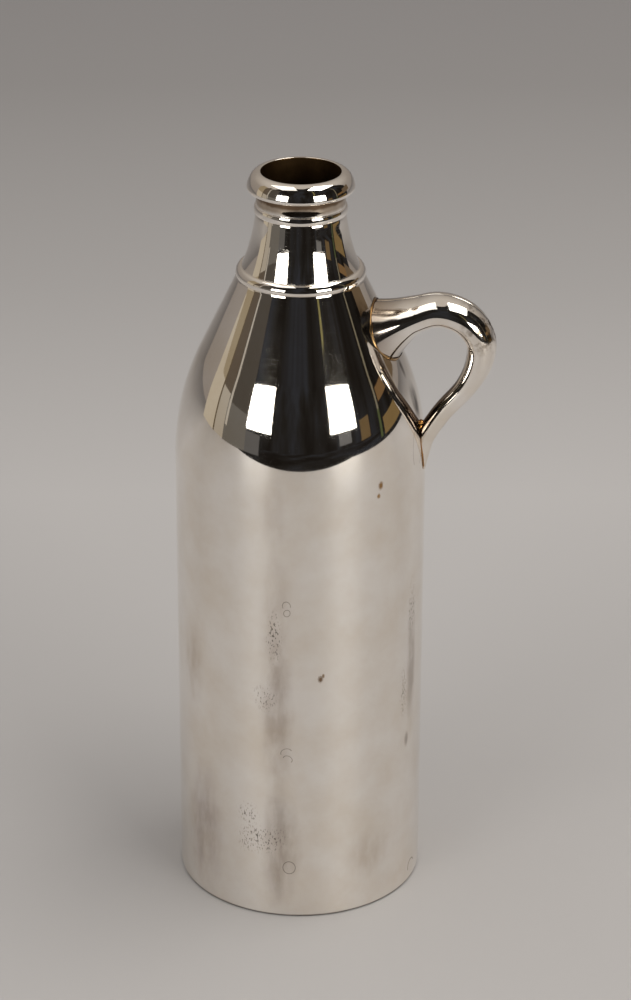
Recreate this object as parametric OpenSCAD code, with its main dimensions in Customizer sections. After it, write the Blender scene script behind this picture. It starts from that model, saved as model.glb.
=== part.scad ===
// Silver bottle with a round body, a conical shoulder, a slender neck and a small ear handle.
// The axis of the bottle is Z, it stands on Z = 0, and the handle is on the +X side.

/* [Body] */
// Outer diameter of the straight wall
body_d = 95; // [80:1:115]
// Height of the straight wall, up to where the shoulder starts to bend
wall_h = 177.5; // [140:0.5:220]
// Thickness of the sheet that the body is spun from
body_sheet = 1; // [0.8:0.1:1.2]
// Radius of the bend between the wall and the cone of the shoulder
bend_r = 100; // [80:1:120]
// Slope of the shoulder's cone, from the vertical
cone_angle = 25.6; // [20:0.1:30]
// Radius that rounds the outer edge of the foot
foot_round = 0.6; // [0.3:0.1:0.8]

/* [Base] */
// Thickness of the base plate
base_sheet = 1.2; // [0.8:0.1:1.6]
// Height of the flange that is turned down at the plate's edge
flange_h = 4.2; // [3.6:0.2:8]
// How much higher the middle of the plate is than its edge
base_dome = 2; // [0.5:0.5:5]

/* [Neck] */
// Outer diameter where the shoulder ends and the neck starts
neck_root_d = 46.9; // [42:0.1:56]
// Height of the neck, from the end of the shoulder to the underside of the lip
neck_h = 32.4; // [26:0.2:44]
// Outer diameter of the neck under the lip
neck_d = 33.1; // [30:0.1:40]
// Thickness of the neck's sheet
neck_sheet = 1; // [0.8:0.1:1.2]
// How suddenly the neck flares to its foot: 2 is an even curve
neck_curve = 2.6; // [2:0.1:3]
// How much wider the neck starts again below the bead
neck_step = 0.15; // [0.05:0.05:0.4]
// Height of the half-round ring that covers the joint of neck and shoulder
ring_h = 3.6; // [3:0.1:6]
// Share of the ring's height that lies below the joint that it covers
ring_below = 0.12; // [0.1:0.01:0.5]
// How far that ring's round stands out
ring_proud = 1.1; // [0.8:0.1:2]
// Height of the narrow bead below the lip
bead_h = 2.9; // [2:0.1:5]
// How far the bead stands out
bead_proud = 0.5; // [0.3:0.1:1]
// Length of plain neck between the bead and the lip
bead_drop = 5.4; // [3:0.1:8]

/* [Lip] */
// How far the rolled lip stands out beyond the neck
lip_proud = 3.4; // [2.8:0.1:6]
// Height of the rolled lip
lip_h = 7.25; // [6.5:0.05:10]
// Slope of the lip's side, from the vertical, where its round top starts
lip_turn = 30; // [26:1:34]
// Radius that rounds the lip's lower edge
lip_edge = 1.4; // [1:0.1:1.7]
// How much higher the lip's underside is at that edge than at the neck
lip_undercut = 0.2; // [0:0.1:0.6]
// Thickness of the lip's rolled sheet
lip_sheet = 0.8; // [0.6:0.1:0.9]
// Thickness of the lip's sleeve, which lines the mouth and takes the cork
sleeve_sheet = 0.7; // [0.5:0.05:0.9]
// How far that sleeve reaches down inside the neck, below the lip
sleeve_drop = 4; // [3:0.5:8]
// Radius that rounds the edge of the mouth
mouth_edge = 0.3; // [0.2:0.05:0.4]

/* [Handle] */
// Height of the middle of the handle's root, above the straight wall
root_rise = 53; // [45:0.5:60]
// Reach of the handle's middle line beyond the straight wall
reach = 20.8; // [14:0.2:32]
// Height of the highest point of the middle line above the root
arch_rise = 9.5; // [6:0.5:14]
// Thickness of the handle near its root
root_thick = 13.2; // [10:0.2:16]
// Thickness of the handle at its lower end
low_thick = 7.7; // [6:0.1:9]
// Thickness of the handle at the tip of its tail
tip_thick = 1.4; // [1:0.1:2]
// How much taller the root flares, on each side
root_flare = 3.6; // [1:0.1:5]
// Length over which the root flares
flare_len = 12; // [8:1:16]
// Thickness of the handle's sheet
handle_sheet = 0.9; // [0.7:0.1:1.2]
// Height above the straight wall at which the handle comes down on the body
crotch_rise = 16.5; // [10:0.5:24]
// Length of the pointed tail below that place
tail_len = 19; // [12:0.5:30]

/* [Joints] */
// Film of solder between two pieces
solder_gap = 0.05; // [0.03:0.01:0.1]
// Width of the solder that shows round the handle's root and tail
solder_w = 0.9; // [0.5:0.1:1.5]

/* [Hidden] */
$fn = 128;

body_r = body_d / 2;
bend_end_z = wall_h + bend_r * sin(cone_angle);
bend_end_r = body_r - bend_r * (1 - cos(cone_angle));
neck_root_r = neck_root_d / 2;
neck_z = bend_end_z + (bend_end_r - neck_root_r) / tan(cone_angle);
neck_r = neck_d / 2;
lip_z = neck_z + neck_h;
lip_top = lip_z + lip_h;
lip_r = neck_r + lip_proud;
sleeve_r = neck_r - neck_sheet - solder_gap;
mouth_r = sleeve_r - sleeve_sheet;
ring_z = neck_z - ring_below * ring_h;
bead_z = lip_z - bead_drop - bead_h;

// Height over which the neck's step below the bead mostly ends
step_run = 0.55;
// How far the neck's end reaches up inside the lip, as a share of the lip's height
neck_in_lip = 0.3;
// Slope of the lip's side, from the vertical, where it leaves the round of the lower edge
lip_lean = 11;
// Thickness left at the edges of a half-round wire
wire_edge = 0.12;

// Steps along the curved parts of the revolved profiles
bend_steps = 18;
neck_steps = 20;
step_steps = 8;
round_steps = 10;

// Outer radius of the body at a height, for sheet lying inside the outer surface by a depth
function body_radius(z, depth = 0) =
    z <= wall_h ? body_r - depth
    : z <= wall_h + (bend_r - depth) * sin(cone_angle)
        ? body_r - bend_r + sqrt(pow(bend_r - depth, 2) - pow(z - wall_h, 2))
        : bend_end_r - depth / cos(cone_angle) - (z - bend_end_z) * tan(cone_angle);

// Outer radius of the neck at a height: straight under the lip, a step wider below the bead,
// and flaring to its foot
function neck_radius(z) =
    neck_r + neck_step * (z < bead_z ? 1 - exp((z - bead_z) / step_run) : 0)
    + (neck_root_r - neck_r - neck_step) * pow(max(lip_z - z, 0) / neck_h, neck_curve);

// Heights of the points on one side of the body's sheet, from the wall's top to the neck
function shoulder_heights(depth) =
    [for (i = [0:bend_steps]) wall_h + (bend_r - depth) * sin(cone_angle * i / bend_steps)];

module body_shell() {
    top = neck_z - solder_gap / 2;
    outer = [for (z = shoulder_heights(0)) [body_radius(z), z]];
    inner = [for (z = shoulder_heights(body_sheet)) [body_radius(z, body_sheet), z]];
    foot = [for (i = [0:round_steps])
        let (a = 90 * i / round_steps)
        [body_r - foot_round + foot_round * sin(a), foot_round - foot_round * cos(a)]];
    color("silver")
        rotate_extrude()
            polygon(concat(
                [[body_r - body_sheet, 0]], foot, outer,
                [[body_radius(top), top], [body_radius(top, body_sheet), top]],
                [for (i = [len(inner) - 1:-1:0]) inner[i]]));
}

// The plate is pushed in, so that the bottle stands on its wall and the flange beside it.
module base_plate() {
    flange_r = body_r - body_sheet - solder_gap;
    plate_r = flange_r - base_sheet;
    edge_z = flange_h - base_sheet;
    under = [for (i = [0:round_steps])
        let (r = plate_r * (1 - i / round_steps))
        [r, edge_z + base_dome * (1 - pow(r / plate_r, 2))]];
    color("silver")
        rotate_extrude()
            polygon(concat(
                [[flange_r, 0], [plate_r, 0]], under,
                [for (i = [round_steps:-1:0]) [under[i][0], under[i][1] + base_sheet]],
                [[flange_r, flange_h]]));
}

module neck_tube() {
    bottom = neck_z + solder_gap / 2;
    step_end = bead_z - 4 * step_run;
    top = lip_z + neck_in_lip * lip_h;
    heights = concat(
        [for (i = [0:neck_steps - 1]) bottom + (step_end - bottom) * i / neck_steps],
        [for (i = [0:step_steps - 1]) step_end + (bead_z - step_end) * i / step_steps],
        [for (i = [0:step_steps]) bead_z + (lip_z - bead_z) * i / step_steps]);
    color("silver")
        rotate_extrude()
            polygon(concat(
                [for (z = heights) [neck_radius(z), z]],
                [[neck_r, top], [neck_r - neck_sheet, top]],
                [for (i = [len(heights) - 1:-1:0]) [neck_radius(heights[i]) - neck_sheet, heights[i]]]));
}

// A half-round wire: its flat side follows the neck and the shoulder, a film of solder away, and
// its round stands square on that seat. The crest is in the middle at 1, and lower below 1.
module half_round(z0, h, proud, crest) {
    function seat(z) = (z < neck_z ? body_radius(z) : neck_radius(z)) + solder_gap;
    function share(i) = (1 - cos(180 * i / round_steps)) / 2;
    function bulge(s) = wire_edge + (proud - wire_edge) * sqrt(sin(180 * pow(s, crest)));
    low = [seat(z0), z0];
    along = [seat(z0 + h), z0 + h] - low;
    out = [along[1], -along[0]] / norm(along);
    rotate_extrude()
        polygon(concat(
            [for (i = [0:round_steps]) low + share(i) * along + bulge(share(i)) * out],
            [for (i = [round_steps:-1:0]) let (z = z0 + h * share(i)) [seat(z), z]]));
}

module neck_ring() {
    color("silver") half_round(ring_z, ring_h, ring_proud, 1);
}

module neck_bead() {
    color("silver") half_round(bead_z, bead_h, bead_proud, 0.75);
}

// Points on an arc round a centre, without the first one
function arc(centre, r, a0, a1) =
    [for (i = [1:round_steps]) let (a = a0 + (a1 - a0) * i / round_steps) centre + r * [cos(a), sin(a)]];

// The lip is sheet rolled outwards over the neck's end, with a sleeve left inside the neck. Four
// arcs that meet smoothly make its outer side: lower edge, side, top and the edge of the mouth.
// The side's radius follows from the lip's height and width.
module lip_ring() {
    edge_c = [lip_r - lip_edge, lip_z + lip_undercut + lip_edge];
    top_end = mouth_r + mouth_edge;
    fall = (1 - sin(lip_turn)) / cos(lip_turn);
    side_start = edge_c + lip_edge * [cos(lip_lean), sin(lip_lean)];
    side_r = (lip_top - side_start[1] - fall * (side_start[0] - top_end))
        / (sin(lip_turn) - sin(lip_lean) - fall * (cos(lip_lean) - cos(lip_turn)));
    side_c = side_start - side_r * [cos(lip_lean), sin(lip_lean)];
    top_r = (side_c[0] + side_r * cos(lip_turn) - top_end) / cos(lip_turn);
    top_c = [top_end, lip_top - top_r];
    mouth_c = [top_end, lip_top - mouth_edge];
    // The inner side of the sheet keeps its distance from the outer one, and ends at the sleeve
    neck_side = neck_r + solder_gap;
    neck_top = lip_z + neck_in_lip * lip_h + solder_gap;
    in_end = acos((sleeve_r - top_end) / (top_r - lip_sheet));
    color("silver")
        rotate_extrude()
            polygon(concat(
                [[neck_side, lip_z]],
                [edge_c - [0, lip_edge]], arc(edge_c, lip_edge, -90, lip_lean),
                arc(side_c, side_r, lip_lean, lip_turn),
                arc(top_c, top_r, lip_turn, 90),
                arc(mouth_c, mouth_edge, 90, 180),
                [[mouth_r, lip_z - sleeve_drop], [sleeve_r, lip_z - sleeve_drop], [sleeve_r, neck_top]],
                [top_c + (top_r - lip_sheet) * [cos(in_end), sin(in_end)]],
                arc(top_c, top_r - lip_sheet, in_end, lip_turn),
                arc(side_c, side_r - lip_sheet, lip_turn, lip_lean),
                arc(edge_c, lip_edge - lip_sheet, lip_lean, -90),
                [[neck_side, lip_z + lip_sheet]]));
}

// Middle line of the handle in the plane Y = 0, as [X, Z] points joined by a smooth curve.
// Its ends are tied to the body's surface, and its arch to the root and the reach. It leaves the
// shoulder a little steeper than square, by root_lift degrees.
root_lift = 7;
root_z = wall_h + root_rise;
root_x = body_radius(root_z) + solder_gap;
crotch_z = wall_h + crotch_rise;
tip_z = crotch_z - tail_len;
far_x = body_r + reach;
lift = [cos(cone_angle + root_lift), sin(cone_angle + root_lift)];
LINE = [
    // The root, the end of its straight stretch, the top of the arch and its outer shoulder
    [root_x, root_z],
    [root_x, root_z] + 11.3 * lift,
    [root_x + 0.54 * (far_x - root_x), root_z + arch_rise],
    [root_x + 0.82 * (far_x - root_x), root_z + 0.72 * arch_rise],
    // The farthest stretch, and the way back towards the body
    [far_x - 0.4, root_z - 0.8],
    [far_x - 0.6, root_z - 10],
    [far_x - 5.4, root_z - 20.5],
    // Above the crotch, below it, and the tail, which sinks into the body's outline to its tip
    [body_radius(crotch_z) + low_thick / 2 + 4.6, crotch_z + 5.6],
    [body_radius(crotch_z - 5) + 1.3, crotch_z - 5],
    [body_radius(crotch_z - 11.6) - 0.5, crotch_z - 11.6],
    [body_radius(tip_z) - 0.1, tip_z]];
// Thickness across the middle line at each of those points
THICK = [root_thick + 0.8, root_thick + 0.8, root_thick, root_thick - 0.4, root_thick - 1.6,
         root_thick - 2.9, low_thick + 0.6, low_thick, low_thick - 0.4, low_thick - 1.7, tip_thick];

// Sideways flare of the root, as a share of its flare in height
side_flare = 0.2;
// How quickly the flare dies out along the handle: 1 is a straight slope
flare_power = 1.5;

// Catmull-Rom curve through a list of values, where u runs from 0 to the last index
function clamp_i(list, i) = list[max(0, min(len(list) - 1, i))];
function curve(list, u) =
    let (i = min(floor(u), len(list) - 2), t = u - i,
         a = clamp_i(list, i - 1), b = clamp_i(list, i), c = clamp_i(list, i + 1), d = clamp_i(list, i + 2))
    ((2 * b) + t * (c - a) + t * t * (2 * a - 5 * b + 4 * c - d) + t * t * t * (3 * b - a - 3 * c + d)) / 2;
function heading(u) =
    let (e = 0.02, v = curve(LINE, min(u + e, len(LINE) - 1)) - curve(LINE, max(u - e, 0)))
    v / norm(v);

// Rings across the middle line, closer together on the tight bends
stations = len(LINE) - 1;
ring_steps = 6;
rings = stations * ring_steps;
hollow_rings = 6.5 * ring_steps;
arc_steps = 12;

// Moves a point that lies inside the body out to its surface
function clear_of_body(p) =
    let (r = norm([p[0], p[1]]), least = body_radius(p[2]) + solder_gap)
    r < least ? [p[0] * least / r, p[1] * least / r, p[2]] : p;

// Rounds of halving or sliding that bring a point onto a surface
search_steps = 16;

// How far a point slides along a direction to come onto the body's surface
function way_to_body(p, way, slid = 0, tries = search_steps) =
    let (q = p + slid * way, off = norm([q[0], q[1]]) - body_radius(q[2]) - solder_gap)
    tries == 0 ? slid : way_to_body(p, way, slid - off * cos(cone_angle), tries - 1);
function onto_body(p, way) = p + way_to_body(p, way) * way;

// A point of the handle's wall: ring k, angle a from the outer side, a depth inside the wall
function tube_point(k, a, depth = 0) =
    let (u = k / ring_steps, c = curve(LINE, u), h = heading(u),
         r = curve(THICK, u) / 2 - depth,
         run = norm(c - LINE[0]),
         flare = u < 2 ? pow(max(1 - run / flare_len, 0), flare_power) : 0,
         in_plane = (r + root_flare * flare) * cos(a),
         side = (r + side_flare * root_flare * flare) * sin(a))
    [c[0] - h[1] * in_plane, side, c[1] + h[0] * in_plane];

// The same point, seated on the body at the root and kept outside the body at the tail.
// The first ring lies on the shoulder, and the next few come away from it step by step.
seat_rings = 5;
root_way = [heading(0)[0], 0, heading(0)[1]];
function wall_point(k, a, depth = 0) =
    k < seat_rings
        ? tube_point(k, a, depth)
            + (1 - k / seat_rings) * way_to_body(tube_point(0, a, depth), root_way) * root_way
        : clear_of_body(tube_point(k, a, depth));

// Half of the handle, as a hollow half-round gutter that ends in a solid pointed tail
module handle_half() {
    n = arc_steps;
    hollow = floor(hollow_rings);
    outside = [for (k = [0:rings], j = [0:n]) wall_point(k, 180 * j / n)];
    inside = [for (k = [0:hollow], j = [0:n]) wall_point(k, 180 * j / n, handle_sheet)];
    base = len(outside);
    function o(k, j) = k * (n + 1) + j;
    function i(k, j) = base + k * (n + 1) + j;
    polyhedron(
        points = concat(outside, inside),
        faces = concat(
            [for (k = [0:hollow - 1], j = [0:n - 1]) each
                [[i(k, j), i(k + 1, j), i(k, j + 1)], [i(k, j + 1), i(k + 1, j), i(k + 1, j + 1)]]],
            [for (k = [0:rings - 1], j = [0:n - 1]) each
                [[o(k, j), o(k, j + 1), o(k + 1, j)], [o(k, j + 1), o(k + 1, j + 1), o(k + 1, j)]]],
            [for (j = [0:n - 1]) each
                [[o(0, j), i(0, j), o(0, j + 1)], [o(0, j + 1), i(0, j), i(0, j + 1)]]],
            [for (k = [0:hollow - 1]) each
                [[o(k, 0), o(k + 1, 0), i(k, 0)], [i(k, 0), o(k + 1, 0), i(k + 1, 0)],
                 [o(k, n), i(k, n), o(k + 1, n)], [i(k, n), i(k + 1, n), o(k + 1, n)]]],
            [[for (j = [n:-1:0]) i(hollow, j)]],
            [[o(hollow, 0), o(hollow + 1, 0), i(hollow, 0)],
             [i(hollow, 0), o(hollow + 1, 0), o(hollow + 1, n), i(hollow, n)],
             [i(hollow, n), o(hollow + 1, n), o(hollow, n)]],
            [for (k = [hollow + 1:rings - 1]) each
                [[o(k, 0), o(k + 1, 0), o(k, n)], [o(k, n), o(k + 1, 0), o(k + 1, n)]]],
            [[for (j = [0:n]) o(rings, j)]]));
}

module handle_back_half() {
    color("gainsboro") handle_half();
}

module handle_front_half() {
    color("gainsboro") mirror([0, 1, 0]) handle_half();
}

// A band of solder with a three-cornered section, from lists of its corners at each step
module fillet_band(foot, toe, crest, closed) {
    n = len(foot);
    polyhedron(
        points = concat(foot, toe, crest),
        faces = concat(
            [for (k = [0:closed ? n - 1 : n - 2])
                let (m = (k + 1) % n) each
                [[k, n + m, n + k], [k, m, n + m],
                 [n + k, 2 * n + m, 2 * n + k], [n + k, n + m, 2 * n + m],
                 [2 * n + k, m, k], [2 * n + k, 2 * n + m, m]]],
            closed ? [] : [[0, n, 2 * n], [n - 1, 3 * n - 1, 2 * n - 1]]));
}

module root_solder() {
    steps = 48;
    angles = [for (j = [0:steps - 1]) 360 * j / steps];
    foot = [for (a = angles) onto_body(tube_point(0, a, -solder_gap), root_way) + solder_gap * root_way];
    toe = [for (a = angles) onto_body(tube_point(0, a, -solder_w), root_way) + solder_gap * root_way];
    crest = [for (p = foot) p + solder_w * root_way];
    color("gold") fillet_band(foot, toe, crest, true);
}

// Where the underside of the handle comes down on the body, and where a ring's wall meets it
function meets_body(p) = norm([p[0], p[1]]) < body_radius(p[2]) + solder_gap;
function touch_ring(lo = 6 * ring_steps, hi = 9 * ring_steps, tries = search_steps) =
    let (m = (lo + hi) / 2)
    tries == 0 ? hi
    : meets_body(tube_point(m, 180)) ? touch_ring(lo, m, tries - 1) : touch_ring(m, hi, tries - 1);
function meet_angle(k, lo = 60, hi = 180, tries = search_steps) =
    let (m = (lo + hi) / 2)
    tries == 0 ? m
    : meets_body(tube_point(k, m)) ? meet_angle(k, lo, m, tries - 1) : meet_angle(k, m, hi, tries - 1);

// The solder runs from the crotch down each side of the tail and round its tip, in two halves.
module tail_solder() {
    film = 3 * solder_gap;
    k0 = touch_ring();
    // Every half ring from just below the crotch, with the angle at which its wall meets the body
    spots = [for (k = [ceil(2 * k0 + 0.2) / 2:0.5:rings]) [k, meet_angle(k)]];
    foot = concat(
        [clear_of_body(tube_point(k0, 180, -film))],
        [for (q = spots) clear_of_body(tube_point(q[0], q[1], -film))],
        [clear_of_body([body_radius(tip_z), 0, tip_z - film])]);
    crest = concat(
        [tube_point(k0 - 1, 180, -film)],
        [for (q = spots)
            let (r = curve(THICK, q[0] / ring_steps) / 2, rise = asin(min(solder_w / r, 0.9)))
            tube_point(q[0], q[1] - rise, -film)],
        [tube_point(rings, 0) - [0, 0, film]]);
    n = len(foot);
    function beside(i) = i < 0 ? [foot[1][0], -foot[1][1], foot[1][2]]
        : i == n ? [foot[n - 2][0], -foot[n - 2][1], foot[n - 2][2]] : foot[i];
    toe = [for (i = [0:n - 1])
        let (t = beside(i + 1) - beside(i - 1), across = norm([t[1], t[2]]),
             p = foot[i] + solder_w * [0, -t[2], t[1]] / across,
             grow = (body_radius(p[2]) + solder_gap) / norm([p[0], p[1]]))
        [p[0] * grow, p[1] * grow, p[2]]];
    color("gold") {
        fillet_band(foot, toe, crest, false);
        mirror([0, 1, 0]) fillet_band(foot, toe, crest, false);
    }
}

body_shell();
base_plate();
neck_tube();
neck_ring();
neck_bead();
lip_ring();
handle_front_half();
handle_back_half();
root_solder();
tail_solder();
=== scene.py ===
# %% [markdown]
# # A silver bottle, finished over its CAD model
# The CAD model holds every piece of the bottle at its real size, but its pieces are built for
# measuring and for collisions. Silver is a mirror, so each flat facet would show. Here every piece
# is made again as a smooth surface from the same sizes, and then gets the finish of real silver.

import bpy
import numpy as np
from mathutils import Matrix, Vector


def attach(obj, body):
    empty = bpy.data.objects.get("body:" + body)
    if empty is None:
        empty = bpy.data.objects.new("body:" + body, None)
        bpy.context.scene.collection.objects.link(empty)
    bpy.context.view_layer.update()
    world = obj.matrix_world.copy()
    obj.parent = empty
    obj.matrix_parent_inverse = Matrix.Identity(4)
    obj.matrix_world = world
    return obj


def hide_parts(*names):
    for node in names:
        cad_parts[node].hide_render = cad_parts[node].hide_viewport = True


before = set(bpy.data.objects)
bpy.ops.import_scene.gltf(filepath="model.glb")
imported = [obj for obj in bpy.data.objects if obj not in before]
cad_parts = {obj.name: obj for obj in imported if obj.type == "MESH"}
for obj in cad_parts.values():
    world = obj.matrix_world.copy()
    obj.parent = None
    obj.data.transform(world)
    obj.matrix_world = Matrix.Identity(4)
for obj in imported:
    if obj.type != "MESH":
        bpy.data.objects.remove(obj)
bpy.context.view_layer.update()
print("CAD nodes:", sorted(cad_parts))

# %% [markdown]
# ## Colours
# Colours are written as hex codes, as a colour picker shows them. Blender's shaders want linear
# light instead, so one function turns a code into linear red, green and blue.


# %% One function for colours
def colour(code):
    """Linear RGBA of an sRGB hex code: each share s becomes ((s + 0.055) / 1.055) to the 2.4."""
    share = np.array([int(code[i:i + 2], 16) for i in (1, 3, 5)]) / 255
    linear = np.where(share <= 0.04045, share / 12.92, ((share + 0.055) / 1.055) ** 2.4)
    return (*linear.tolist(), 1.0)


print("mid grey #808080 is", round(colour("#808080")[0], 3), "in linear light")

# %% [markdown]
# ## The camera
# The photograph was taken with a long lens, 1.24 m from the bottle and 25 degrees above it. These
# numbers come from the ellipses of the lip, the neck ring and the foot. The handle points along
# +X, and the camera stands 12 degrees round from straight in front of it.

# %% Camera at the photograph's angle
MM = 0.001
PHOTO_HIGH = 1000
CAMERA_TURN = np.radians(12)
CAMERA_PITCH = np.radians(25.24)
CAMERA_ROLL = np.radians(0.10)
CAMERA_PLACE = np.array([232.4, -1093.2, 684.0])
FOCAL_PIXELS = 3229.95
AXIS_LEFT_PIXELS = 15.03
SENSOR = 36.0

photo_right = np.array([np.cos(CAMERA_TURN), np.sin(CAMERA_TURN), 0])
photo_front = np.array([np.sin(CAMERA_TURN), -np.cos(CAMERA_TURN), 0])
looks = -photo_front * np.cos(CAMERA_PITCH) - np.array([0, 0, np.sin(CAMERA_PITCH)])
level_up = np.cross(photo_right, looks)
camera_right = photo_right * np.cos(CAMERA_ROLL) + level_up * np.sin(CAMERA_ROLL)
camera_up = level_up * np.cos(CAMERA_ROLL) - photo_right * np.sin(CAMERA_ROLL)

camera = bpy.data.objects.new("camera", bpy.data.cameras.new("camera"))
bpy.context.scene.collection.objects.link(camera)
camera.data.sensor_width = SENSOR
camera.data.lens = FOCAL_PIXELS * SENSOR / PHOTO_HIGH
camera.data.shift_x = AXIS_LEFT_PIXELS / PHOTO_HIGH
turn = Matrix(np.array([camera_right, camera_up, -looks]).T.tolist()).to_4x4()
camera.matrix_world = Matrix.Translation(Vector(CAMERA_PLACE * MM)) @ turn
bpy.context.scene.camera = camera
bpy.context.scene.view_settings.view_transform = "Standard"
print("lens", round(camera.data.lens, 1), "mm, camera at", [round(v, 3) for v in camera.location])

# %% [markdown]
# ## Surfaces from grids of points
# A spun bottle is a profile turned round an axis, and a handle is a section carried along a line.
# Both are grids of points, so one function makes the mesh for all of them. Silver shows the
# smallest step in shading, so the normals are worked out from the grid and given to the mesh,
# instead of being guessed from its faces.


# %% From a grid of points to a mesh
def grid_quads(rows, columns, wrap_rows, wrap_columns):
    """Quads between neighbouring points of a grid that is numbered row by row."""
    r = np.arange(rows if wrap_rows else rows - 1)[:, None]
    c = np.arange(columns if wrap_columns else columns - 1)[None, :]
    r2, c2 = (r + 1) % rows, (c + 1) % columns
    corners = np.broadcast_arrays(r * columns + c, r * columns + c2, r2 * columns + c2, r2 * columns + c)
    return np.stack(corners, -1).reshape(-1, 4)


def grid_step(grid, axis, wrap):
    """From the point before to the point after along one way of the grid, for every point."""
    after, before = np.roll(grid, -1, axis), np.roll(grid, 1, axis)
    if not wrap:
        grid = np.moveaxis(grid, axis, 0)
        np.moveaxis(after, axis, 0)[-1] = grid[-1]
        np.moveaxis(before, axis, 0)[0] = grid[0]
    return after - before


def make_piece(name, grid, wrap_rows, wrap_columns, capped=False, slot_of_row=None):
    """A mesh object from a (rows, columns, 3) grid in mm. Where it is capped, the first and the
    last row are each filled with one face. slot_of_row gives each row's material slot."""
    rows, columns = grid.shape[:2]
    across = grid_step(grid, 1, wrap_columns)
    normals = np.cross(grid_step(grid, 0, wrap_rows), across).reshape(-1, 3)
    normals /= np.maximum(np.linalg.norm(normals, axis=1, keepdims=True), 1e-12)
    quads = grid_quads(rows, columns, wrap_rows, wrap_columns)
    points = grid.reshape(-1, 3) * MM
    a, b, c, d = (points[quads[:, i]] for i in range(4))
    volume = (np.cross(a, b) * c).sum() + (np.cross(a, c) * d).sum()
    faces = quads if volume > 0 else quads[:, ::-1]
    normals = -normals if volume > 0 else normals
    flat = faces.tolist()
    if capped:
        first = list(range(columns))
        last = list(range((rows - 1) * columns, rows * columns))
        flat += [first if volume > 0 else first[::-1], last[::-1] if volume > 0 else last]
        flat[-2:] = [face[::-1] for face in flat[-2:]]
    mesh = bpy.data.meshes.new(name)
    mesh.from_pydata(points.tolist(), [], flat)
    mesh.polygons.foreach_set("use_smooth", np.ones(len(flat), bool))
    if slot_of_row is not None:
        used = np.repeat(slot_of_row[:len(quads) // (columns if wrap_columns else columns - 1)],
                         columns if wrap_columns else columns - 1)
        used = np.concatenate([used, np.zeros(len(flat) - len(quads), int)])
        mesh.polygons.foreach_set("material_index", used.astype(np.int32))
    mesh.update()
    mesh.normals_split_custom_set_from_vertices(normals.tolist())
    piece = bpy.data.objects.new(name, mesh)
    bpy.context.scene.collection.objects.link(piece)
    low, high = points.min(0) / MM, points.max(0) / MM
    print(f"{name}: {len(flat)} faces, from {low.round(1).tolist()} to {high.round(1).tolist()} mm")
    return piece


# %% [markdown]
# ## Turned profiles
# The wall, neck, wires and lip are all turned. `turned` carries a profile of radius and height
# round the axis. `even` puts points along a profile at even distances, and `softened` rounds its
# corners as polishing does, by averaging each point with its neighbours.


# %% Helpers for profiles
def even(profile, step):
    """The profile's line again, with points a step apart."""
    profile = np.asarray(profile, float)
    run = np.concatenate([[0], np.cumsum(np.linalg.norm(np.diff(profile, axis=0), axis=1))])
    spots = np.linspace(0, run[-1], max(int(run[-1] / step), 2) + 1)
    return np.stack([np.interp(spots, run, profile[:, i]) for i in range(profile.shape[1])], 1)


def softened(line, step, width):
    """Each point becomes the mean of its neighbours, weighted by exp(-(distance / width)^2 / 2).
    Beyond its ends the line is taken to go on as its own mirror image, so the ends stay."""
    reach = int(np.ceil(3 * width / step))
    weights = np.exp(-0.5 * (np.arange(-reach, reach + 1) * step / width) ** 2)
    before = 2 * line[0] - line[reach:0:-1]
    after = 2 * line[-1] - line[-2:-reach - 2:-1]
    longer = np.concatenate([before, line, after])
    return np.stack([np.convolve(longer[:, i], weights / weights.sum(), "valid")
                     for i in range(line.shape[1])], 1)


def turned(profile, around, shift=None):
    """A grid from a profile of [radius, height] rows: each row is a circle of points. shift adds
    to the radius a value for each angle and height."""
    profile = np.asarray(profile, float)
    angle = np.linspace(0, 2 * np.pi, around, endpoint=False)[None, :]
    radius, height = profile[:, :1] + 0 * angle, profile[:, 1:] + 0 * angle
    if shift is not None:
        radius = radius + shift(angle + 0 * radius, height)
    return np.stack([radius * np.cos(angle), radius * np.sin(angle), height], -1)


# %% [markdown]
# ## The body's form
# The wall and the shoulder are one piece of 1 mm sheet, spun on a lathe. The form is a straight
# wall, a bend of 100 mm radius and a cone. The same formulas as in the CAD source give its radius,
# so all that sits on the body finds its surface.

# %% Sizes and form of the body and the neck
BODY_R, WALL_H, BODY_SHEET = 47.5, 177.5, 1.0
BEND_R, CONE = 100.0, np.radians(25.6)
FOOT_ROUND = 0.6
BEND_END_Z = WALL_H + BEND_R * np.sin(CONE)
BEND_END_R = BODY_R - BEND_R * (1 - np.cos(CONE))
NECK_ROOT_R, NECK_R, NECK_H, NECK_CURVE, NECK_SHEET = 23.45, 16.55, 32.4, 2.6, 1.0
NECK_Z = BEND_END_Z + (BEND_END_R - NECK_ROOT_R) / np.tan(CONE)
LIP_Z = NECK_Z + NECK_H
SOLDER_GAP = 0.05
RING_LOW, RING_H, RING_PROUD = NECK_Z - 0.12 * 3.6, 3.6, 1.1
BEAD_LOW, BEAD_H, BEAD_PROUD = LIP_Z - 5.4 - 2.9, 2.9, 0.5
NECK_STEP, STEP_RUN, WAIST, SPREAD = 0.15, 0.55, 0.18, 0.75


def body_radius(z, depth=0.0):
    """Radius of the body at a height: straight up to WALL_H, then an arc, then a cone. depth is
    how far inside the outer surface."""
    z = np.asarray(z, float)
    arc = np.sqrt(np.maximum((BEND_R - depth) ** 2 - np.maximum(z - WALL_H, 0) ** 2, 0))
    cone = BEND_END_R - depth / np.cos(CONE) - (z - BEND_END_Z) * np.tan(CONE)
    bent = np.where(z <= WALL_H + (BEND_R - depth) * np.sin(CONE), BODY_R - BEND_R + arc, cone)
    return np.where(z <= WALL_H, BODY_R - depth, bent)


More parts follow.
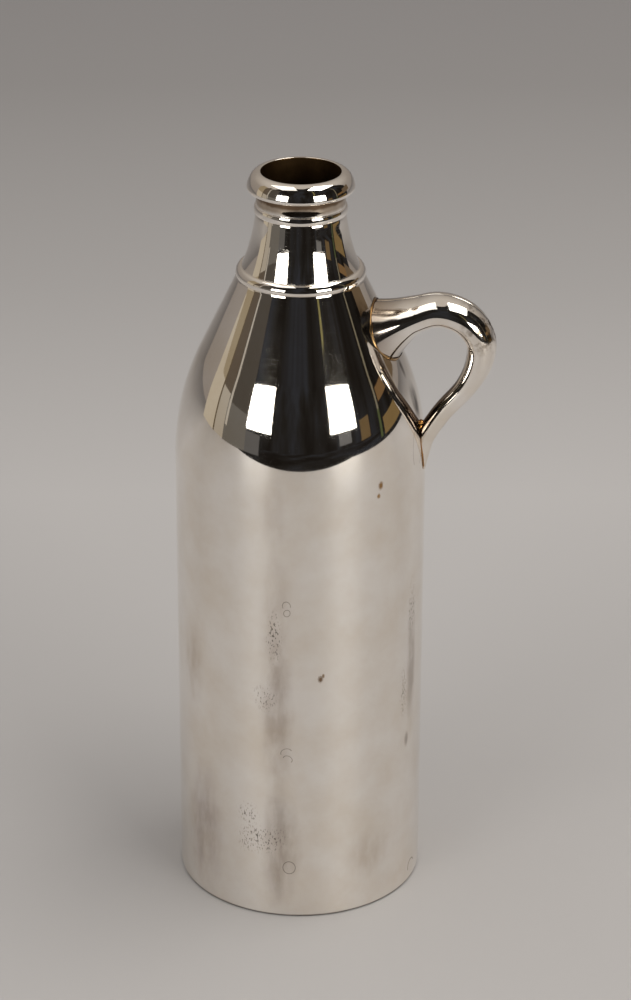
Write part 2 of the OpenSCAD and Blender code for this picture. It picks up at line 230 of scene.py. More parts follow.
def plain_neck(z):
    """Radius of the neck at a height: it flares to its foot as a power of the depth below the lip,
    and is a step wider below the bead."""
    z = np.asarray(z, float)
    step = np.where(z < BEAD_LOW, 1 - np.exp(np.minimum(z - BEAD_LOW, 0) / STEP_RUN), 0)
    share = np.maximum(LIP_Z - z, 0) / NECK_H
    return NECK_R + NECK_STEP * step + (NECK_ROOT_R - NECK_R - NECK_STEP) * share ** NECK_CURVE


def neck_radius(z):
    """The neck as polishing left it: it pulls in by WAIST over the 3 mm above the bead, along a
    smooth step u^2 (3 - 2u), and below the bead it spreads by SPREAD over a few millimetres."""
    z = np.asarray(z, float)
    u = np.clip((BEAD_LOW + BEAD_H + 3.2 - z) / 3.1, 0, 1)
    share = np.maximum(LIP_Z - z, 0) / NECK_H
    spread = 0.5 * (1 - share ** NECK_CURVE) - np.exp(np.minimum(z - BEAD_LOW, 0) / 7)
    return plain_neck(z) + WAIST * (u ** 2 * (3 - 2 * u) - 0.5) + np.where(z < BEAD_LOW, SPREAD * spread, 0)


print("the cone ends at", round(NECK_Z, 2), "mm and the neck at", round(LIP_Z, 2), "mm")

# %% [markdown]
# ## The body's dents
# A hand-spun wall is never quite true, and this one has been in use. Slow waves of a few
# hundredths of a millimetre make the reflections swim a little, and shallow dents stand where the
# photograph shows them. They are real shape, so they show in any light.

# %% Waves and dents of the wall
PHOTO_ANGLE = np.arctan2(photo_front[1], photo_front[0])
# For each dent: degrees to the right of the middle of the photograph, height, radius, depth, in mm
DENTS = np.array([(-5.0, 22.0, 2.6, 0.05), (8.0, 74.0, 5.0, 0.03), (-8.0, 96.0, 4.0, 0.04),
                  (48.0, 70.0, 6.0, 0.05), (-38.0, 52.0, 9.0, 0.06), (62.0, 120.0, 8.0, 0.05),
                  (130.0, 88.0, 7.0, 0.06), (-150.0, 140.0, 9.0, 0.07)])


def wall_shift(angle, z):
    """Out and in of the wall in mm: three slow waves, less a bell curve for each dent."""
    wave = (0.016 * np.sin(3 * angle + z / 31) + 0.011 * np.sin(5 * angle - z / 17 + 1)
            + 0.008 * np.sin(z / 9 + 2 * angle))
    dents = 0
    for right, height, size, depth in DENTS:
        turn_by = (angle - PHOTO_ANGLE - np.radians(right) + np.pi) % (2 * np.pi) - np.pi
        away = (turn_by * body_radius(z)) ** 2 + (z - height) ** 2
        dents = dents + depth * np.exp(-away / (2 * size ** 2))
    calm = 1 - 0.75 * np.clip((z - WALL_H) / 20, 0, 1)
    return (wave * calm - dents) * np.clip(z / 6, 0, 1) * np.clip((NECK_Z - z) / 6, 0, 1)


print("deepest dent", DENTS[:, 3].max(), "mm, among", len(DENTS))


# %% The body shell
def body_profile():
    """The section of the sheet as a closed line: up the outside, then down the inside."""
    turn_in = np.linspace(-90, 0, 9)
    foot = np.stack([BODY_R - FOOT_ROUND + FOOT_ROUND * np.cos(np.radians(turn_in)),
                     FOOT_ROUND + FOOT_ROUND * np.sin(np.radians(turn_in))], 1)
    z = np.concatenate([np.arange(FOOT_ROUND + 0.4, WALL_H, 1.6), np.arange(WALL_H, NECK_Z - 2.2, 1.2)])
    outside = np.stack([body_radius(z), z], 1)
    top = NECK_Z - SOLDER_GAP / 2
    edge = [[body_radius(top - 0.1), top - 0.1], [body_radius(top) - 0.1, top],
            [body_radius(top, BODY_SHEET) + 0.1, top], [body_radius(top - 0.1, BODY_SHEET), top - 0.1]]
    z = np.concatenate([np.linspace(top - 1, WALL_H, 30), np.linspace(WALL_H - 6, 1, 22)])
    inside = np.stack([body_radius(z, BODY_SHEET), z], 1)
    inner_foot = [[BODY_R - BODY_SHEET, 0.15], [BODY_R - BODY_SHEET + 0.15, 0]]
    line = np.concatenate([foot, outside, edge, inside, inner_foot])
    outer_rows = len(foot) + len(outside) + 2
    return line, np.where(np.arange(len(line)) < outer_rows, 0, 1)


AROUND = 320
line, slots = body_profile()
body = make_piece("spun_body", turned(line, AROUND, wall_shift), True, True, slot_of_row=slots)

# %% [markdown]
# ## The base
# The base is a thin plate, pushed in between the turned-down flange and the wall, so that the
# bottle stands on its rim. It is a turned profile too. Its middle would be a point where all the
# faces meet, so the profile stops short of the axis and one small face closes it on each side.

# %% The base plate
BASE_SHEET, FLANGE_H, BASE_DOME = 1.2, 4.2, 2.0
flange_r = BODY_R - BODY_SHEET - SOLDER_GAP
plate_r = flange_r - BASE_SHEET
edge_z = FLANGE_H - BASE_SHEET
rise = np.linspace(0, 1, 24)[:, None] ** 0.8
under_r = plate_r * rise + 0.4 * (1 - rise)
under = np.concatenate([under_r, edge_z + BASE_DOME * (1 - (under_r / plate_r) ** 2)], 1)
over = under[::-1] + [0, BASE_SHEET]
corner = np.array([[plate_r, 0.2], [plate_r + 0.2, 0], [flange_r - 0.2, 0], [flange_r, 0.2],
                   [flange_r, FLANGE_H - 0.8], [flange_r - 0.25, FLANGE_H - 0.2]])
rim = softened(even(np.concatenate([under[-2:], corner]), 0.1), 0.1, 0.12)[10:]
base_line = np.concatenate([even(under, 1.0)[:-1], rim, over[1:]])
base = make_piece("base_plate_sheet", turned(base_line, 192), False, True, capped=True)

# %% [markdown]
# ## Neck, ring and bead
# The neck is a flared tube, soldered to the shoulder. A half-round wire covers the joint, and a
# narrower one lies under the lip. Solder and polishing leave a small hollow along each wire, and
# that hollow catches the light a second time. Below the ring it is widest: the cone runs out into
# it over almost a millimetre. The profile is drawn with sharp corners and then softened, which
# rounds them as the polishing mop does.

# %% The neck tube
neck_top = LIP_Z + 2.17
z = np.concatenate([np.linspace(NECK_Z + SOLDER_GAP / 2, BEAD_LOW - 2.2, 70),
                    np.linspace(BEAD_LOW - 2.1, LIP_Z + 0.3, 90), np.linspace(LIP_Z + 0.5, neck_top, 4)])
outside = np.stack([neck_radius(z), z], 1)
back_z = z[::-2]
inside = np.stack([plain_neck(back_z) - NECK_SHEET, back_z], 1)
line = np.concatenate([outside, inside])
slots = np.where(np.arange(len(line)) < len(outside) - 1, 0, 1)
neck = make_piece("neck_sheet", turned(line, AROUND), True, True, slot_of_row=slots)


# %% The two wires
def seat_radius(z):
    """Radius of what a wire lies on at a height: the body below NECK_Z, the neck above it."""
    return np.where(z < NECK_Z, body_radius(z), neck_radius(z))


def wire_profile(low, high, proud, crest, below, lift, soft):
    """The wire's section as a closed line. Its round stands square on the line between its two
    edges, and is proud times the root of sin(180 s^crest), for s from 0 to 1 along that line. The
    solder below it rises from the seat by lift times the square of the way up."""
    step = 0.04
    share = (1 - np.cos(np.linspace(0, np.pi, 60))) / 2
    ends = np.array([[float(seat_radius(z)) + SOLDER_GAP, z] for z in (low, high)])
    along = ends[1] - ends[0]
    out = np.array([along[1], -along[0]]) / np.linalg.norm(along)
    bulge = 0.12 + (proud - 0.12) * np.sqrt(np.maximum(np.sin(np.pi * share ** crest), 0))
    crown = ends[0] + share[:, None] * along + bulge[:, None] * out
    z = np.arange(low - below - 3 * soft, low, step)
    rise = np.clip((z - low + below) / below, 0, 1)
    foot = np.stack([seat_radius(z) - 0.01 + 0.014 * (rise > 0) + lift * rise ** 2, z], 1)
    z = np.arange(high + step, high + 5 * soft, step)
    head = np.stack([seat_radius(z) + 0.004, z], 1)
    front = softened(even(np.concatenate([foot, crown, head]), step), step, soft)[::2]
    back = np.stack([seat_radius(front[::-1, 1]) - 0.1, front[::-1, 1]], 1)
    return np.concatenate([front, back[::3]])


ring_line = wire_profile(RING_LOW, RING_LOW + RING_H, RING_PROUD, 1.0, 0.8, 0.1, 0.09)
bead_line = wire_profile(BEAD_LOW, BEAD_LOW + BEAD_H, BEAD_PROUD, 0.75, 0.3, 0.03, 0.08)
ring = make_piece("neck_ring_wire", turned(ring_line, AROUND), True, True)
bead = make_piece("neck_bead_wire", turned(bead_line, AROUND), True, True)

# %% [markdown]
# ## The rolled lip
# The lip is sheet, rolled outwards over the end of the neck, with a sleeve that goes down inside.
# Four arcs that meet smoothly make its outer side: the lower edge, the side, the top and the edge
# of the mouth. The points run round them from the neck's outside, down the sleeve, and come back
# along the inner side of the sheet.

# %% The lip
LIP_H, LIP_R, LIP_EDGE, LIP_UNDERCUT, LIP_SHEET = 7.25, NECK_R + 3.4, 1.4, 0.2, 0.8
LIP_LEAN, LIP_TURN = np.radians(11), np.radians(30)
SLEEVE_DROP, SLEEVE_R, MOUTH_EDGE = 4.0, NECK_R - NECK_SHEET - SOLDER_GAP, 0.3
MOUTH_R = SLEEVE_R - 0.7


def arc(centre, radius, start, end, count):
    """Points on an arc round a centre, from one angle to another."""
    a = np.linspace(start, end, count)[:, None]
    return np.asarray(centre) + radius * np.concatenate([np.cos(a), np.sin(a)], 1)


def ray(angle):
    """The direction at an angle above the horizontal, in the plane of a profile."""
    return np.array([np.cos(angle), np.sin(angle)])


edge_c = np.array([LIP_R - LIP_EDGE, LIP_Z + LIP_UNDERCUT + LIP_EDGE])
top_end = MOUTH_R + MOUTH_EDGE
fall = (1 - np.sin(LIP_TURN)) / np.cos(LIP_TURN)
side_start = edge_c + LIP_EDGE * ray(LIP_LEAN)
side_r = ((LIP_Z + LIP_H - side_start[1] - fall * (side_start[0] - top_end))
          / (np.sin(LIP_TURN) - np.sin(LIP_LEAN) - fall * (np.cos(LIP_LEAN) - np.cos(LIP_TURN))))
side_c = side_start - side_r * ray(LIP_LEAN)
top_r = (side_c[0] + side_r * np.cos(LIP_TURN) - top_end) / np.cos(LIP_TURN)
top_c = np.array([top_end, LIP_Z + LIP_H - top_r])
mouth_c = np.array([top_end, LIP_Z + LIP_H - MOUTH_EDGE])
print("the lip's side has a radius of", round(side_r, 2), "mm and its top one of", round(top_r, 2), "mm")

quarter = np.pi / 2
outer = np.concatenate([[[NECK_R + SOLDER_GAP, LIP_Z], [edge_c[0], LIP_Z + LIP_UNDERCUT]],
                        arc(edge_c, LIP_EDGE, -quarter, LIP_LEAN, 40)[1:],
                        arc(side_c, side_r, LIP_LEAN, LIP_TURN, 60)[1:],
                        arc(top_c, top_r, LIP_TURN, quarter, 60)[1:],
                        arc(mouth_c, MOUTH_EDGE, quarter, 2 * quarter, 12)[1:],
                        [[MOUTH_R, mouth_c[1] - 1.5]]])
outer = softened(even(outer, 0.05), 0.05, 0.1)[::2]
sleeve_end = LIP_Z - SLEEVE_DROP
sleeve = np.stack([np.full(12, MOUTH_R), np.linspace(mouth_c[1] - 2, sleeve_end + 0.1, 12)], 1)
sleeve_foot = [[MOUTH_R + 0.1, sleeve_end], [SLEEVE_R - 0.1, sleeve_end], [SLEEVE_R, sleeve_end + 0.1]]
sleeve_back = np.stack([np.full(8, SLEEVE_R), np.linspace(sleeve_end + 1, neck_top + SOLDER_GAP, 8)], 1)
in_end = np.arccos((SLEEVE_R - top_end) / (top_r - LIP_SHEET))
inner = np.concatenate([arc(top_c, top_r - LIP_SHEET, in_end, LIP_TURN, 20),
                        arc(side_c, side_r - LIP_SHEET, LIP_TURN, LIP_LEAN, 16)[1:],
                        arc(edge_c, LIP_EDGE - LIP_SHEET, LIP_LEAN, -quarter, 10)[1:],
                        [[NECK_R + SOLDER_GAP, LIP_Z + LIP_SHEET]]])
line = np.concatenate([outer, sleeve, sleeve_foot, sleeve_back, inner])
gilt_from = int(np.argmax((outer[:, 0] < MOUTH_R + 0.12) & (outer[:, 1] > LIP_Z + 3)))
slots = np.where(np.arange(len(line)) < gilt_from, 0, 1)
lip = make_piece("rolled_lip_sheet", turned(line, AROUND), True, True, slot_of_row=slots)

# %% [markdown]
# ## The handle
# The handle is hollow. Two gutters were stamped from sheet and soldered along the middle plane.
# Its middle line goes through eleven points, and a Catmull-Rom curve joins them: each piece of the
# curve leans on the two points before and after it. A mirror finish shows where such pieces meet,
# so the line is softened by about a millimetre. How wide the bright and dark bands are on the arch
# shows that its section is an oval, wider across than it is thick, and that evens out at the tail.

# %% Middle line and thickness
ROOT_Z = WALL_H + 53
ROOT_X = float(body_radius(ROOT_Z)) + SOLDER_GAP
CROTCH_Z = WALL_H + 16.5
TIP_Z = CROTCH_Z - 19
FAR_X = BODY_R + 20.8
ARCH = 9.5
LOW_THICK, ROOT_FLARE, SIDE_FLARE, HANDLE_SHEET = 7.7, 4.6, 0.8, 0.9
FLARE_LEN, UPPER_LEN, UPPER_FLARE = 12.0, 4.5, 1.0
LIFT = np.array([np.cos(CONE + np.radians(7)), np.sin(CONE + np.radians(7))])
HANDLE_POINTS = np.array([
    [ROOT_X, ROOT_Z],
    [ROOT_X + 11.3 * LIFT[0], ROOT_Z + 11.3 * LIFT[1]],
    [ROOT_X + 0.54 * (FAR_X - ROOT_X), ROOT_Z + ARCH],
    [ROOT_X + 0.82 * (FAR_X - ROOT_X), ROOT_Z + 0.72 * ARCH],
    [FAR_X - 0.4, ROOT_Z - 0.8],
    [FAR_X - 0.6, ROOT_Z - 10],
    [FAR_X - 5.4, ROOT_Z - 20.5],
    [float(body_radius(CROTCH_Z)) + LOW_THICK / 2 + 4.6, CROTCH_Z + 5.6],
    [float(body_radius(CROTCH_Z - 5)) + 1.3, CROTCH_Z - 5],
    [float(body_radius(CROTCH_Z - 11.6)) - 0.5, CROTCH_Z - 11.6],
    [float(body_radius(TIP_Z)) - 0.1, TIP_Z]])
HANDLE_THICK = np.array([12.8, 12.7, 12.2, 12.0, 11.3, 10.3, 8.3, 7.7, 7.3, 6.0, 1.4])
HANDLE_WIDE = np.array([1.95, 1.76, 1.54, 1.42, 1.35, 1.28, 1.18, 1.08, 1.0, 1.0, 1.0])


def curve(points, u):
    """Catmull-Rom curve through points, at u from 0 to the last index."""
    points = np.asarray(points, float).reshape(len(points), -1)
    i = np.minimum(np.floor(u).astype(int), len(points) - 2)
    t = (u - i)[:, None]
    a, b, c, d = (points[np.clip(i + k, 0, len(points) - 1)] for k in (-1, 0, 1, 2))
    return (2 * b + t * (c - a) + t ** 2 * (2 * a - 5 * b + 4 * c - d) + t ** 3 * (3 * b - a - 3 * c + d)) / 2


HANDLE_STEP = 0.4
fine = curve(np.column_stack([HANDLE_POINTS, HANDLE_THICK, HANDLE_WIDE]), np.linspace(0, 10, 2001))
run = np.concatenate([[0], np.cumsum(np.linalg.norm(np.diff(fine[:, :2], axis=0), axis=1))])
spots = np.linspace(0, run[-1], int(run[-1] / HANDLE_STEP) + 1)
path = np.stack([np.interp(spots, run, fine[:, i]) for i in range(4)], 1)
path = softened(path, HANDLE_STEP, 1.6)
middle, thick, widen = path[:, :2], path[:, 2], path[:, 3]
heading = grid_step(middle, 0, False)
heading /= np.linalg.norm(heading, axis=1, keepdims=True)
print("the handle's middle line is", round(run[-1], 1), "mm long, in", len(spots), "stations")


# %% [markdown]
# At its root the handle flares and sits on the cone of the shoulder. A ring of points at the root
# slides along the handle's direction until it lies on the cone, and the next ones follow less and
# less. At the tail, what would lie inside the body is moved out to the body's surface.

# %% The handle's wall
def off_body(points):
    """How far points lie outside the body's surface, a film of solder away."""
    return np.hypot(points[..., 0], points[..., 1]) - body_radius(points[..., 2]) - SOLDER_GAP


def slide_to_body(points, way):
    """How far each point slides along a direction to come onto the body, by repeated steps."""
    slid = np.zeros(points.shape[:-1])
    for _ in range(14):
        slid -= off_body(points + slid[..., None] * way) * np.cos(CONE)
    return slid


def tube(angle, depth=0.0):
    """Grid of the handle's wall: one row for each station, one column for each angle from the
    outer side, at a depth inside the wall. The section is an oval that flares near the root, over
    a longer way on its upper side."""
    upper = (0.5 + 0.5 * np.cos(angle)) ** 2
    reach = FLARE_LEN + UPPER_LEN * upper
    flare = np.maximum(1 - np.linalg.norm(middle - middle[0], axis=1)[:, None] / reach, 0) ** 1.5
    in_plane = (thick[:, None] / 2 - depth + (ROOT_FLARE + UPPER_FLARE * upper) * flare) * np.cos(angle)
    side = (widen[:, None] * thick[:, None] / 2 - depth + SIDE_FLARE * flare) * np.sin(angle)
    return np.stack([middle[:, :1] - heading[:, 1:] * in_plane, side,
                     middle[:, 1:] + heading[:, :1] * in_plane], -1)


ROOT_WAY = np.array([heading[0, 0], 0, heading[0, 1]])
SEAT_RUN = 9.5


def on_body(grid):
    """Seats a grid of the handle: its first row comes onto the shoulder and the next rows follow
    by a share that fades to nothing, and no point stays inside the body."""
    share = np.clip(1 - spots / SEAT_RUN, 0, 1)
    share = (share ** 2 * (3 - 2 * share))[:, None, None]
    seated = grid + share * slide_to_body(grid[0], ROOT_WAY)[None, :, None] * ROOT_WAY
    reach = np.hypot(seated[..., 0], seated[..., 1])
    least = body_radius(seated[..., 2]) + SOLDER_GAP
    grow = np.where((spots[:, None] > SEAT_RUN) & (reach < least), least / reach, 1)
    return seated * np.stack([grow, grow, np.ones_like(grow)], -1)


def handle_half(name, side):
    """Half of the handle as a closed shell. Each row goes along the outer arc and back along the
    inner one, and past the hollow part the inner arc lies flat on the middle plane. The mesh keeps
    how far each point is turned towards the finger: 0 on the outer side, 1 inside the loop."""
    angle = np.linspace(0, np.pi, 33)
    outer = on_body(tube(angle[None, :]))
    inner = on_body(tube(angle[None, ::-1], HANDLE_SHEET))
    hollow_to = 0.66 * spots[-1]
    share = np.linspace(0, 1, 33)[None, :, None]
    flat = outer[:, -1:] + (outer[:, :1] - outer[:, -1:]) * share
    inner = np.where((spots < hollow_to)[:, None, None], inner, flat)
    grid = np.concatenate([outer, inner], 1) * [1, side, 1]
    half = make_piece(name, grid, False, True, capped=True)
    inward = np.tile(np.concatenate([angle, angle[::-1]]) / np.pi, len(spots))
    half.data.attributes.new("inward", "FLOAT", "POINT").data.foreach_set("value", inward)
    return half


front_half = handle_half("handle_front_gutter", -1)
back_half = handle_half("handle_back_gutter", 1)

# %% [markdown]
# ## Solder
# Silver solder melts a little below silver and is slightly yellow. It runs into the corner between
# the handle and the body and stays there as a thin hollow fillet. Each fillet is a curve with three
# control points, from its toe on the body over the corner to its crest on the handle.


# %% A fillet from three lines
def fillet(name, toe, corner_line, crest, swell=0.0):
    """A closed band with a hollow face: rows follow the joint, and each column is a place on the
    curve (1-s)^2 toe + 2s(1-s) (corner + swell) + s^2 crest."""
    s = np.linspace(0, 1, 9)[None, :, None]
    heart = (corner_line + swell)[:, None]
    face = (1 - s) ** 2 * toe[:, None] + 2 * s * (1 - s) * heart + s ** 2 * crest[:, None]
    behind = 0.5 * (corner_line + (toe + crest) / 2)[:, None] * [1, 1, 1]
    back = 1.6 * corner_line[:, None] - 0.6 * behind
    return make_piece(name, np.concatenate([face, back], 1), True, True)


SOLDER_W = 0.6
angle = np.linspace(0, 2 * np.pi, 128, endpoint=False)[None, :]


def root_ring(out):
    """The outline of the handle's root on the shoulder, moved out by a distance."""
    ring_points = tube(angle, -out)[0]
    return ring_points + slide_to_body(ring_points, ROOT_WAY)[:, None] * ROOT_WAY


wander = 0.25 * np.sin(5 * angle[0] + 1) + 0.18 * np.sin(11 * angle[0])
root_corner = root_ring(SOLDER_GAP)
root_toe = root_corner + (root_ring(SOLDER_W) - root_corner) * (1 + wander)[:, None]
root_crest = root_corner + SOLDER_W * (1 + wander)[:, None] * ROOT_WAY
root_seam = fillet("root_solder_fillet", root_toe, root_corner, root_crest)

# %% [markdown]
# The tail's fillet follows the line where the handle's side meets the body. For each station, that
# is the angle at which the wall's points pass from outside to inside. The line runs down one side,
# round the tip and up the other, and the fillet is widest in the crotch, where solder collected.

# %% The tail's fillet
scan = np.radians(np.linspace(60, 180, 241))[None, :]
wall_scan = tube(scan)
inside_now = off_body(wall_scan) < 0
touches = inside_now.any(1) & (spots > 0.5 * spots[-1])
first = np.argmax(inside_now, 1)
meet = scan[0][first]
rows_used = np.where(touches)[0]
rows_used = rows_used[rows_used < len(spots) - 2]


def side_line(lift_angle, out):
    """Points of the handle's wall along the joint, turned up by an angle and moved out, on the
    side towards +Y."""
    flare_free = thick[rows_used] / 2 + out
    a = meet[rows_used] - lift_angle
    in_plane, side = flare_free * np.cos(a), widen[rows_used] * flare_free * np.sin(a)
    return np.stack([middle[rows_used, 0] - heading[rows_used, 1] * in_plane, side,
                     middle[rows_used, 1] + heading[rows_used, 0] * in_plane], -1)


def outside_body(points, film):
    """Moves points onto the body's surface, a film away from it."""
    reach = np.hypot(points[:, 0], points[:, 1])
    grow = (body_radius(points[:, 2]) + film) / reach
    return points * np.stack([grow, grow, np.ones_like(grow)], -1)


tip = np.array([[float(body_radius(TIP_Z)) + SOLDER_GAP, 0, TIP_Z - 0.2]])
one_side = outside_body(side_line(0, 0.05), 0.06)
loop = np.concatenate([one_side, tip, one_side[::-1] * [1, -1, 1]])
loop = even(np.concatenate([loop, loop[:1]]), 0.5)[:-1]
loop = np.stack([np.convolve(np.concatenate([loop[-3:, i], loop[:, i], loop[:3, i]]),
                             np.ones(7) / 7, "valid") for i in range(3)], 1)
loop = outside_body(loop, 0.06)
along = grid_step(loop, 0, True)
away = np.stack([0 * along[:, 0], along[:, 2], -along[:, 1]], 1)
away /= np.linalg.norm(away, axis=1, keepdims=True)
centre = loop.mean(0)
away *= np.sign(((loop - centre) * away).sum(1).mean())
crotch = loop[np.argmax(loop[:, 2])]
near_crotch = np.exp(-(np.linalg.norm(loop - crotch, axis=1) / 2.5) ** 2)[:, None]
wide = 0.55 + 1.6 * near_crotch
tail_toe = outside_body(loop + wide * away, 0.03)
outward = np.stack([loop[:, 0], loop[:, 1], 0 * loop[:, 2]], 1)
outward /= np.linalg.norm(outward, axis=1, keepdims=True)
tail_crest = loop - 0.25 * wide * away + (0.7 + 1.0 * near_crotch) * wide * outward
drop = near_crotch ** 2 * (1.6 * away + 2.6 * outward)
tail_seam = fillet("tail_solder_fillet", tail_toe, loop, tail_crest, drop)

# %% [markdown]
# ## Nodes for the finishes
# Every finish below is a tree of shader nodes. One small function adds a node: values go to its
# sockets, sockets of other nodes are linked, and settings are set by name.


# %% One function for nodes
def add(tree, kind, sockets=None, **settings):
    """Adds a node of a kind. In sockets, a value is set and another node's socket is linked."""
    node = tree.nodes.new("ShaderNode" + kind)
    for name, value in settings.items():
        setattr(node, name, value)
    for key, value in (sockets or {}).items():
        if isinstance(value, bpy.types.NodeSocket):
            tree.links.new(value, node.inputs[key])
        else:
            node.inputs[key].default_value = value
    return node


def new_material(name):
    """An empty material with its node tree, its output node and its object coordinates in mm."""
    material = bpy.data.materials.new(name)
    material.use_nodes = True
    tree = material.node_tree
    tree.nodes.clear()
    end = add(tree, "OutputMaterial")
    place = add(tree, "TexCoord").outputs["Object"]
    in_mm = add(tree, "VectorMath", {0: place, 3: 1 / MM}, operation="SCALE").outputs[0]
    return material, tree, end, in_mm


# %% [markdown]
# ## Polished silver
# Sterling silver sends back 95 % of the light, slightly more of red than of blue. Polished with a
# mop it is a mirror, so its roughness is only a few hundredths. What tells it from a perfect mirror
# is its age: it is a little hazier in some places than in others, it has hair scratches from
# cleaning, and a thin film of tarnish that is warm in colour.
# Real hair scratches are 0.01 mm wide, far too fine for a pixel, so they are drawn 0.1 mm wide.


# %% The silver finish
def silver(name, shine=0.03, haze=0.02, clean="#F9F4EE", film="#E6D9C6", film_share=0.5, scratches=1.0,
           brushed=0.0):
    """Polished silver. Its roughness goes from shine up to shine + haze in slow patches, and film
    is the tint of its tarnish. brushed is how much rougher its level brush lines are. Returns the
    kit that marks are added to."""
    material, tree, end, in_mm = new_material(name)
    patches = add(tree, "TexNoise", {"Vector": in_mm, "Scale": 1 / 26, "Detail": 4.0}).outputs["Fac"]
    rough = add(tree, "MapRange", {"Value": patches, "From Min": 0.38, "From Max": 0.64,
                                   "To Min": shine, "To Max": shine + haze}).outputs[0]
    cloud = add(tree, "TexNoise", {"Vector": in_mm, "Scale": 1 / 19, "Detail": 5.0,
                                   "Roughness": 0.6}).outputs["Fac"]
    filmed = add(tree, "MapRange", {"Value": cloud, "From Min": 0.36, "From Max": 0.7,
                                    "To Max": film_share}).outputs[0]
    tint = add(tree, "Mix", {"Factor": filmed}, data_type="RGBA")
    tint.inputs["A"].default_value, tint.inputs["B"].default_value = colour(clean), colour(film)

    hair = None
    for tilt, size in ((0.35, 1.5), (1.25, 1.9)):
        turned_way = add(tree, "Mapping", {"Vector": in_mm, "Rotation": (tilt, tilt * 0.6, 0.3),
                                           "Scale": (1, 1, 0.03)}).outputs[0]
        field = add(tree, "TexNoise", {"Vector": turned_way, "Scale": 1 / size}).outputs["Fac"]
        off = add(tree, "Math", {0: field, 1: 0.5}, operation="SUBTRACT").outputs[0]
        off = add(tree, "Math", {0: off}, operation="ABSOLUTE").outputs[0]
        lines = add(tree, "MapRange", {"Value": off, "From Max": 0.008, "To Min": 1.0, "To Max": 0.0}).outputs[0]
        hair = lines if hair is None else add(tree, "Math", {0: hair, 1: lines}, operation="MAXIMUM").outputs[0]
    rough = add(tree, "Math", {0: hair, 1: 0.045 * scratches, 2: rough}, operation="MULTIPLY_ADD").outputs[0]
    if brushed:
        level_way = add(tree, "VectorMath", {0: in_mm, 1: (0.03, 0.03, 1)}, operation="MULTIPLY").outputs[0]
        streaks = add(tree, "TexNoise", {"Vector": level_way, "Scale": 1 / 0.4, "Detail": 1.0}).outputs["Fac"]
        streaks = add(tree, "MapRange", {"Value": streaks, "From Min": 0.5, "From Max": 0.66,
                                         "To Max": brushed}).outputs[0]
        rough = add(tree, "Math", {0: rough, 1: streaks}, operation="ADD").outputs[0]
    height = add(tree, "Math", {0: hair, 1: -0.0004 * scratches}, operation="MULTIPLY").outputs[0]
    return {"material": material, "tree": tree, "end": end, "in_mm": in_mm,
            "colour": tint.outputs["Result"], "rough": rough, "height": height, "cloud": cloud}


def finish_silver(kit):
    tree = kit["tree"]
    bump = add(tree, "Bump", {"Height": kit["height"], "Distance": 1 * MM, "Strength": 1.0})
    metal = add(tree, "BsdfPrincipled", {"Base Color": kit["colour"], "Metallic": 1.0,
                                         "Roughness": kit["rough"], "Normal": bump.outputs[0]})
    tree.links.new(metal.outputs[0], kit["end"].inputs["Surface"])
    return kit["material"]


def lay_over(kit, share, code, rougher=0.0):
    tree = kit["tree"]
    laid = add(tree, "Mix", {"Factor": share}, data_type="RGBA", blend_type="MULTIPLY")
    tree.links.new(kit["colour"], laid.inputs["A"])
    laid.inputs["B"].default_value = colour(code)
    kit["colour"] = laid.outputs["Result"]
    if rougher:
        more = add(tree, "Math", {0: share, 1: rougher}, operation="MULTIPLY").outputs[0]
        kit["rough"] = add(tree, "Math", {0: kit["rough"], 1: more}, operation="ADD").outputs[0]


# %% [markdown]
# ## Marks on the wall
# The shoulder is a clean mirror, but the wall below it is handled and wiped. It is hazier, and the
# photograph shows a greyer column down its middle, a streak at the right, two brown stains and a few
# curved scratches. Each mark has a place: an angle round the bottle and a height. A Mapping node of
# the kind Texture turns and shrinks space so that the mark's own oval becomes a ball of radius 1,
# and the distance from its middle is then the mask.


# %% Helpers for marks
def at_mark(kit, right, height, wide, tall, tilt=0.0):
    """Coordinates round a mark in half-widths: x is out of the wall, y along it to the right and z
    up. right is in degrees from the middle of the photograph, the rest in mm and degrees."""
    turn_to = PHOTO_ANGLE + np.radians(right)
    middle_at = (float(body_radius(height)) * np.cos(turn_to), float(body_radius(height)) * np.sin(turn_to), height)
    return add(kit["tree"], "Mapping", {"Vector": kit["in_mm"], "Location": middle_at,
                                        "Rotation": (np.radians(tilt), 0, turn_to),
                                        "Scale": (30, wide, tall)}, vector_type="TEXTURE").outputs[0]


def blot(kit, right, height, wide, tall, tilt=0.0, ragged=0.5, grain=0.6):
    """A soft blot: 1 in the middle, fading to 0 at its edge, which noise makes ragged."""
    tree = kit["tree"]
    local = at_mark(kit, right, height, wide, tall, tilt)
    away = add(tree, "VectorMath", {0: local}, operation="LENGTH").outputs["Value"]
    rough_edge = add(tree, "TexNoise", {"Vector": kit["in_mm"], "Scale": grain, "Detail": 4.0}).outputs["Fac"]
    shift = add(tree, "Math", {0: rough_edge, 1: 2 * ragged, 2: -ragged}, operation="MULTIPLY_ADD").outputs[0]
    away = add(tree, "Math", {0: away, 1: shift}, operation="ADD").outputs[0]
    return add(tree, "MapRange", {"Value": away, "From Min": 0.25, "From Max": 1.0, "To Min": 1.0,
                                  "To Max": 0.0}, interpolation_type="SMOOTHSTEP").outputs[0]


